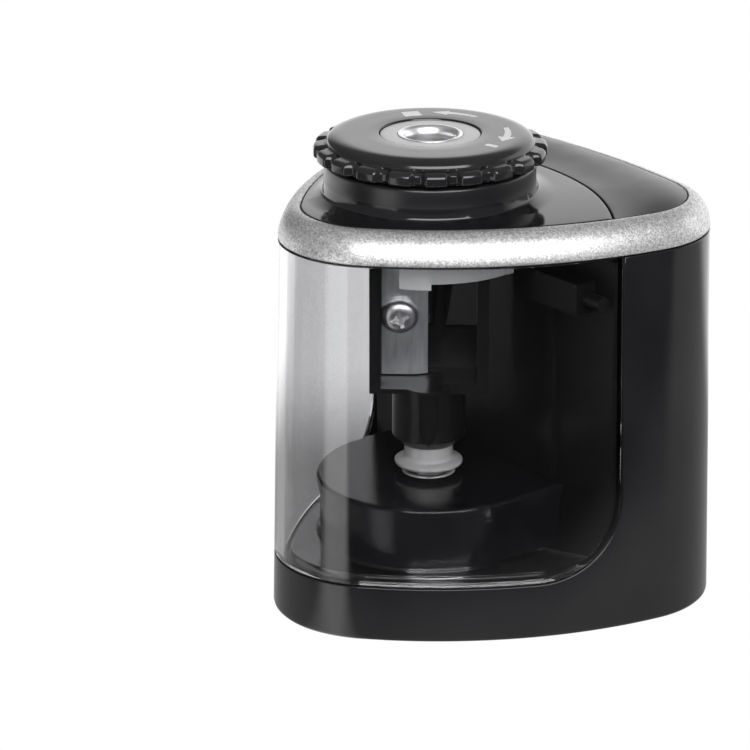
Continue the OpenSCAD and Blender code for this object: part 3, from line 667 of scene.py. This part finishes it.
def rear_deck():
    """The deck behind the arc seam, in radial sections from that seam out to the ring."""
    centre = (0.0, SEAM_Y - SEAM_R)
    inner = SEAM_R + SEAM_GAP

    def height(r, angle):
        return deck_height(r * math.cos(angle), centre[1] + r * math.sin(angle))

    # the first section is where the deck is still wide enough for its rounded edges
    lo = math.radians(50)
    hi = math.radians(90)
    for _ in range(40):
        mid = (lo + hi) / 2
        if far_ray(centre, mid, seam_plan) > inner + 0.7:
            hi = mid
        else:
            lo = mid
    rings = []
    count = 120
    for i in range(count + 1):
        a = hi + (math.pi - 2 * hi) * i / count
        edge = far_ray(centre, a, seam_plan)
        z0 = height(inner, a)
        z1 = height(edge, a)
        ring = [(inner, z0 - DECK_DEPTH), (inner, z0 - 0.16), (inner + 0.07, z0 - 0.03), (inner + 0.2, z0)]
        for k in range(1, 16):
            r = inner + 0.2 + (edge - inner - 0.4) * k / 16
            ring.append((r, height(r, a)))
        ring += [(edge - 0.2, z1), (edge - 0.07, z1 - 0.03), (edge, z1 - 0.16), (edge, z1 - DECK_DEPTH)]
        rings.append([(r * math.cos(a), centre[1] + r * math.sin(a), z) for r, z in ring])
    return weighted(add_object("rear_deck_skin", *open_grid(rings), "housing", satin_black), 60)


front = front_deck()
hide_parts("front_deck")
rear = rear_deck()
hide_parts("rear_deck")

# ---------------- knob, guide disc and entry
LOBES = 20
LOBE_ROOT = 17.35
LOBE_LOW = 77.6
LOBE_HIGH = 80.1


def lobe_swell(a, r, z):
    """Cuts the notches between the lobes, and rounds each lobe's face."""
    if r < LOBE_ROOT or z > LOBE_HIGH or z < LOBE_LOW:
        return r, z
    phase = (a * LOBES / (2 * math.pi) + 0.5) % 1.0 - 0.5     # 0 in the middle of a lobe
    u = abs(phase) * 2
    notch = math.sin(math.pi / 2 * min(1.0, max(0.0, (u - 0.50) / 0.34))) ** 2
    face = 0.18 * u * u
    weight = min(1.0, (r - LOBE_ROOT) / 1.2)
    sink = 0.10 * notch * weight if z > 79.4 else 0.0
    return r - (1.15 * notch + face) * weight, z - sink


# from the barrel's foot up its outside, round the lobes, over the dome and down to the disc's seat
knob_profile = [(12.6, 66.0), (14.54, 66.0), (14.54, 77.2), (17.0, 77.2), (17.6, 77.5), (18.0, 77.72)]
knob_profile += [(18.9, 77.75)] + arc(19.0, 78.25, 0.5, -80, 0, 5) + [(19.5, 78.7)]
knob_profile += arc(18.6, 79.0, 0.9, 0, 72, 7)
knob_profile += [(18.5, 79.93), (18.1, 79.99), (17.7, 80.05), (17.42, 80.14), (17.27, 80.27)]
for angle in spaced(4, 88, 7):
    t = math.radians(angle)
    knob_profile.append((14.5 + 2.72 * math.cos(t), 80.35 + 1.25 * math.sin(t)))
knob_profile += [(r, KNOB_TOP) for r in (13.6, 13.0, 11.0, 8.75)]
knob_profile += [(8.6, 81.57), (8.52, 81.48), (8.5, 81.2), (8.5, 79.4)]
knob_profile += [(7.45, 79.4), (7.45, 76.6), (12.6, 76.6)]
knob = revolve("knob_cap", knob_profile, "knob", knob_black, steps=LOBES * 32, swell=lobe_swell, sharp=60)
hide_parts("twist_knob")

disc_profile = [(5.5, 74.6), (6.4, 74.6), (6.4, 76.6), (7.4, 76.6), (7.4, 79.45), (8.4, 79.45), (8.36, 81.2),
                (8.32, 81.32), (8.2, 81.38), (7.4, 81.4), (6.4, 81.4), (5.62, 81.4), (5.5, 81.34)]
disc = revolve("guide_disc_face", disc_profile, "knob", light_grey, sharp=50)
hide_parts("guide_disc")

funnel_profile = [(4.2, 74.8), (5.45, 74.8), (5.45, 81.4), (5.38, 81.49), (5.25, 81.5)]
for angle in spaced(8, 90, 6):
    t = math.radians(angle)
    funnel_profile.append((5.2 - math.sin(t), 80.0 + 1.5 * math.cos(t)))
funnel_profile += [(4.2, 78.6), (4.2, 77.0)]
funnel = revolve("entry_ring", funnel_profile, "knob", funnel_metal, sharp=50)
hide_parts("entry_funnel")

# ---------------- ring that locks the knob
def sector(r0, r1, z0, z1, a0, a1, edge):
    """A closed arc of a ring with eased lower edges."""
    section = [(r0, z1), (r0, z0 + edge), (r0 + edge, z0), (r1 - edge, z0),
               (r1 - 0.3 * edge, z0 + 0.3 * edge), (r1, z0 + edge), (r1, z1)]
    turns = [math.radians(a) for a in spaced(a0, a1, 3)]
    return open_grid([[(r * math.cos(t), AXIS_Y + r * math.sin(t), z) for r, z in section] for t in turns])


def joined(parts):
    """The verts and faces of several parts as one."""
    verts = []
    faces = []
    for v, f in parts:
        faces += [tuple(len(verts) + i for i in face) for face in f]
        verts += v
    return verts, faces


# the ring itself, its three lugs, and the low step beside one of them with its stop
lock_parts = [sector(15.4, 17.3, 63.4, 69.2, a, a + 120, 0.3) for a in (0, 120, 240)]
lock_parts += [sector(15.5, 18.8, 60.1, 63.9, a - 8, a + 8, 0.45) for a in (-46, 74, 194)]
lock_parts += [sector(15.5, 17.0, 60.6, 63.9, -38, 11, 0.3), sector(16.9, 17.9, 60.9, 63.9, 8, 11.5, 0.3)]
lock = weighted(add_object("knob_lock_ring", *joined(lock_parts), "housing", lug_grey), 40)
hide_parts("lock_ring")

# ---------------- drum over the gears
def drum():
    """A round cover with straight sides to the back, in sections from its wall to the hub's hole."""
    r0 = 18.8
    top = 22.0
    low = 9.62
    back = 6.24
    edge = 0.7
    thick = 1.6
    hub = 4.6
    # the plan, as points with the wall's outward direction
    plan = [(-r0, y, -1.0, 0.0) for y in spaced(back, AXIS_Y, 1.5)[1:-1]]
    for angle in spaced(-180, 0, 2.0):
        c = math.cos(math.radians(angle))
        s = math.sin(math.radians(angle))
        plan.append((r0 * c, AXIS_Y + r0 * s, c, s))
    plan += [(r0, y, 1.0, 0.0) for y in spaced(AXIS_Y, back, 1.5)[1:-1]] + [(r0, back, 1.0, 1.0)]
    plan += [(x, back, 0.0, 1.0) for x in spaced(r0, -r0, 1.5)[1:-1]] + [(-r0, back, -1.0, 1.0)]
    wall = [(0.0, low), (0.0, 14.0), (0.0, 18.0)]
    wall += [(p - edge, q) for p, q in arc(edge, top - edge, edge, 0, 90, 6)]
    rings = []
    for x, y, nx, ny in plan:
        ring = [(x + nx * off, y + ny * off, z) for off, z in wall]
        h = Vector((x, y - AXIS_Y)).normalized() * hub
        for f in (0.75, 0.5, 0.25):
            across = h.x + (x - nx * edge - h.x) * f
            back_by = h.y + (y - ny * edge - AXIS_Y - h.y) * f
            ring.append((across, AXIS_Y + back_by, top))
        ring += [(h.x, AXIS_Y + h.y, top), (h.x, AXIS_Y + h.y, top - thick)]
        ring += [(x - nx * thick, y - ny * thick, top - thick), (x - nx * thick, y - ny * thick, low)]
        rings.append(ring)
    return weighted(add_object("gear_drum", *torus_grid(rings), "housing", drum_black), 50)


drum_piece = drum()
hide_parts("gear_cover")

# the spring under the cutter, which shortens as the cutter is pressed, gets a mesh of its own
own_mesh(NODES["return_spring"])


# ---------------- printed arrows on the knob
def flat_mark(name, outline):
    """A thin printed shape on the knob's top, from an outline about the knob's axis."""
    n = len(outline)
    verts = [(x, AXIS_Y + y, KNOB_TOP - 0.02) for x, y in outline]
    verts += [(x, AXIS_Y + y, KNOB_TOP + 0.03) for x, y in outline]
    faces = [tuple(range(n - 1, -1, -1)), tuple(range(n, 2 * n))]
    faces += [(i, (i + 1) % n, n + (i + 1) % n, n + i) for i in range(n)]
    ob = add_object(name, verts, faces, "knob", print_grey, smooth=False)
    return ob


def curved_arrow(radius, a_tail, a_tip, width, head):
    """An arrow along a circle, from its tail's angle to its tip's. It widens towards the head."""
    def at(r, angle):
        return (r * math.cos(math.radians(angle)), r * math.sin(math.radians(angle)))

    steps = 8
    neck = a_tip - math.copysign(math.degrees(head / radius), a_tip - a_tail)
    outer = []
    inner = []
    for i in range(steps + 1):
        angle = a_tail + (neck - a_tail) * i / steps
        half = width * (0.35 + 0.15 * i / steps)
        outer.append(at(radius + half, angle))
        inner.append(at(radius - half, angle))
    tip = [at(radius + width * 1.15, neck), at(radius, a_tip), at(radius - width * 1.15, neck)]
    return outer + tip + inner[::-1]


def bar_mark(radius, a_mid, length, width):
    """A short bar across the arrow's circle."""
    c = math.cos(math.radians(a_mid))
    s = math.sin(math.radians(a_mid))
    u = length / 2
    v = width / 2
    corners = ((-u, -v), (u, -v), (u, v), (-u, v))
    return [(c * (radius + p) - s * q, s * (radius + p) + c * q) for p, q in corners]


flat_mark("unlock_arrow", curved_arrow(12.3, 102, 140, 1.05, 2.8))
flat_mark("unlock_mark", bar_mark(11.7, 157, 2.6, 3.0))
flat_mark("lock_arrow", curved_arrow(12.9, 64, 27, 1.25, 2.6))
flat_mark("lock_mark", bar_mark(12.8, 13, 2.2, 1.0))


# ---------------- stage, lights, camera
def add_node(nt, kind, **values):
    n = nt.nodes.new("ShaderNode" + kind)
    for key, value in values.items():
        setattr(n, key, value)
    return n


def along(nt, vector, direction, low, high):
    """0 to 1 as a vector's share along a direction goes from low to high, smoothly."""
    dot = add_node(nt, "VectorMath", operation="DOT_PRODUCT")
    dot.inputs[1].default_value = direction
    link(nt, vector, dot.inputs[0])
    ramp = add_node(nt, "MapRange", interpolation_type="SMOOTHSTEP")
    ramp.inputs["From Min"].default_value = low
    ramp.inputs["From Max"].default_value = high
    link(nt, dot.outputs["Value"], ramp.inputs["Value"])
    return ramp.outputs["Result"]


def product(nt, a, b):
    m = add_node(nt, "Math", operation="MULTIPLY")
    link(nt, a, m.inputs[0])
    link(nt, b, m.inputs[1])
    return m.outputs[0]


def scaled_sum(nt, base, terms):
    """base plus each value times its weight."""
    total = None
    for value, weight in terms:
        m = add_node(nt, "Math", operation="MULTIPLY_ADD")
        m.inputs[1].default_value = weight
        m.inputs[2].default_value = base
        link(nt, value, m.inputs[0])
        if total is not None:
            link(nt, total, m.inputs[2])
        total = m.outputs[0]
    return total


FLOOR_GLOW = 0.22           # what the floor adds to dull surfaces
MIRROR_DARK = 0.02          # the mirrored floor in front, and what the other zones add to it
MIRROR_BACK = 0.44
MIRROR_WEDGE = 1.6
MIRROR_BEYOND = 0.95


def stage_floor():
    """A floor that is white to the camera. Gloss and the clear window see a pattern on it instead: dark in
    front, lighter at the back left, lightest far out there, with a bright wedge that opens forwards."""
    mat, nt, p = new_material("floor_white")
    p.inputs["Base Color"].default_value = (0.93, 0.93, 0.93, 1)
    p.inputs["Roughness"].default_value = 0.9
    p.inputs["Specular IOR Level"].default_value = 0.0
    p.inputs["Emission Color"].default_value = (1, 1, 1, 1)
    p.inputs["Emission Strength"].default_value = FLOOR_GLOW
    place = add_node(nt, "TexCoord").outputs["Object"]
    back = along(nt, place, (-0.7071, 0.7071, 0), -0.070, -0.022)
    left = along(nt, place, (-0.956, -0.292, 0), -0.004, 0.003)
    right = along(nt, place, (-0.98, 0.17, 0), -0.006, -0.016)
    wedge = product(nt, left, right)
    beyond = along(nt, place, (-0.866, 0.5, 0), 0.055, 0.120)
    zones = [(back, MIRROR_BACK), (wedge, MIRROR_WEDGE), (beyond, MIRROR_BEYOND)]
    glow = add_node(nt, "Emission")
    link(nt, scaled_sum(nt, MIRROR_DARK, zones), glow.inputs["Strength"])
    seen = add_node(nt, "Emission")
    path = add_node(nt, "LightPath")
    mirrored = add_node(nt, "MixShader")
    direct = add_node(nt, "MixShader")
    link(nt, path.outputs["Is Glossy Ray"], mirrored.inputs[0])
    link(nt, p.outputs["BSDF"], mirrored.inputs[1])
    link(nt, glow.outputs["Emission"], mirrored.inputs[2])
    link(nt, path.outputs["Is Camera Ray"], direct.inputs[0])
    link(nt, mirrored.outputs["Shader"], direct.inputs[1])
    link(nt, seen.outputs["Emission"], direct.inputs[2])
    out = [n for n in nt.nodes if n.type == "OUTPUT_MATERIAL"][0]
    link(nt, direct.outputs["Shader"], out.inputs["Surface"])
    mesh = bpy.data.meshes.new("floor")
    half = 6
    corners = [(-half, -half, 0), (half, -half, 0), (half, half, 0), (-half, half, 0)]
    mesh.from_pydata(corners, [], [(0, 1, 2, 3)])
    ob = bpy.data.objects.new("floor", mesh)
    bpy.context.scene.collection.objects.link(ob)
    mesh.materials.append(mat)


stage_floor()

# the studio round it: grey, bright low behind the object, and a little lighter overhead
SKY_BASE = 0.20
SKY_BACKDROP = 1.30
SKY_TOP = 0.10
world = bpy.data.worlds.new("studio")
bpy.context.scene.world = world
world.use_nodes = True
wn = world.node_tree
bg = wn.nodes["Background"]
bg.inputs["Color"].default_value = (1, 1, 1, 1)
sky = add_node(wn, "TexCoord").outputs["Generated"]
behind = along(wn, sky, (-0.26, 0.966, 0.0), 0.42, 0.76)
low = along(wn, sky, (0, 0, 1), 0.62, 0.40)
overhead = along(wn, sky, (0, 0, 1), 0.5, 0.95)
sky_parts = [(product(wn, behind, low), SKY_BACKDROP), (overhead, SKY_TOP)]
link(wn, scaled_sum(wn, SKY_BASE, sky_parts), bg.inputs["Strength"])


def area(name, place, target, width, height, power):
    """A rectangular lamp in metres and watts, turned to its target."""
    data = bpy.data.lights.new(name, "AREA")
    data.shape = "RECTANGLE"
    data.size = width
    data.size_y = height
    data.energy = power
    ob = bpy.data.objects.new(name, data)
    ob.location = place
    ob.rotation_euler = (Vector(target) - Vector(place)).to_track_quat("-Z", "Y").to_euler()
    bpy.context.scene.collection.objects.link(ob)


area("key", (0.66, -0.36, 0.44), (0, 0, 0.05), 0.95, 0.5, 10.5)

cam_data = bpy.data.cameras.new("camera")
cam = bpy.data.objects.new("camera", cam_data)
bpy.context.scene.collection.objects.link(cam)
cam.location = (0.4739, -0.38946, 0.25504)
cam.rotation_euler = Vector((-0.7422, 0.5806, -0.3346)).to_track_quat("-Z", "Y").to_euler()
cam_data.sensor_width = 36
cam_data.lens = 182.81
cam_data.clip_start = 0.01
cam_data.clip_end = 20
bpy.context.scene.camera = cam

bpy.context.scene.view_settings.view_transform = "Standard"
